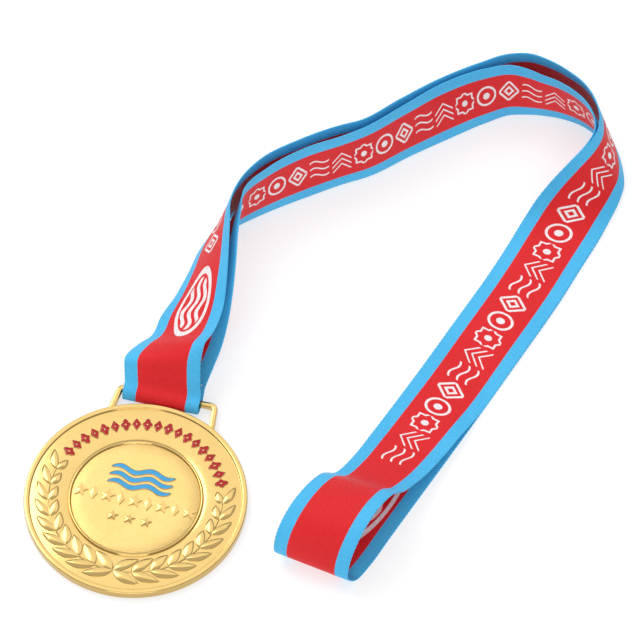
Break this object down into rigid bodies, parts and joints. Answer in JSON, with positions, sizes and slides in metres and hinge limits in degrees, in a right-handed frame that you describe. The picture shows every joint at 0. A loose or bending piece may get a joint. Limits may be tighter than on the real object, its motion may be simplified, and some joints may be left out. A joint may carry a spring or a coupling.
{
  "type": "medal",
  "caption": "Round gilt award medal with laurel wreath, wave emblem and bail, lying face up on a closed red and blue neck ribbon.",
  "frame": {"origin": "centre of the disc's flat back face", "axes": "+Z out of the medal's face, +Y from the disc to its bail"},
  "size_m": [0.1584, 0.2191, 0.0255],
  "materials": {
    "gilt_metal": "bright gold plating on a cast alloy, sandblasted centre",
    "blue_enamel": "gloss soft enamel",
    "red_enamel": "gloss soft enamel",
    "ribbon_fabric": "printed satin weave, red with blue borders",
    "seam_thread": "polyester sewing thread"
  },
  "bodies": {
    "ribbon_body": {"ribbon": "ribbon_fabric", "seam_stitches": "seam_thread"},
    "medal_body": {"medal_casting": "gilt_metal", "emblem_wave_top": "blue_enamel", "emblem_wave_middle": "blue_enamel", "emblem_wave_bottom": "blue_enamel", "legend_enamel": "red_enamel"}
  },
  "joints": [
    {"name": "medal_swing", "type": "hinge", "parent": "ribbon_body", "child": "medal_body", "pos_m": [0, 0.0391, 0.0018], "axis": [-1, 0, 0], "range_deg": [0, 75]}
  ]
}
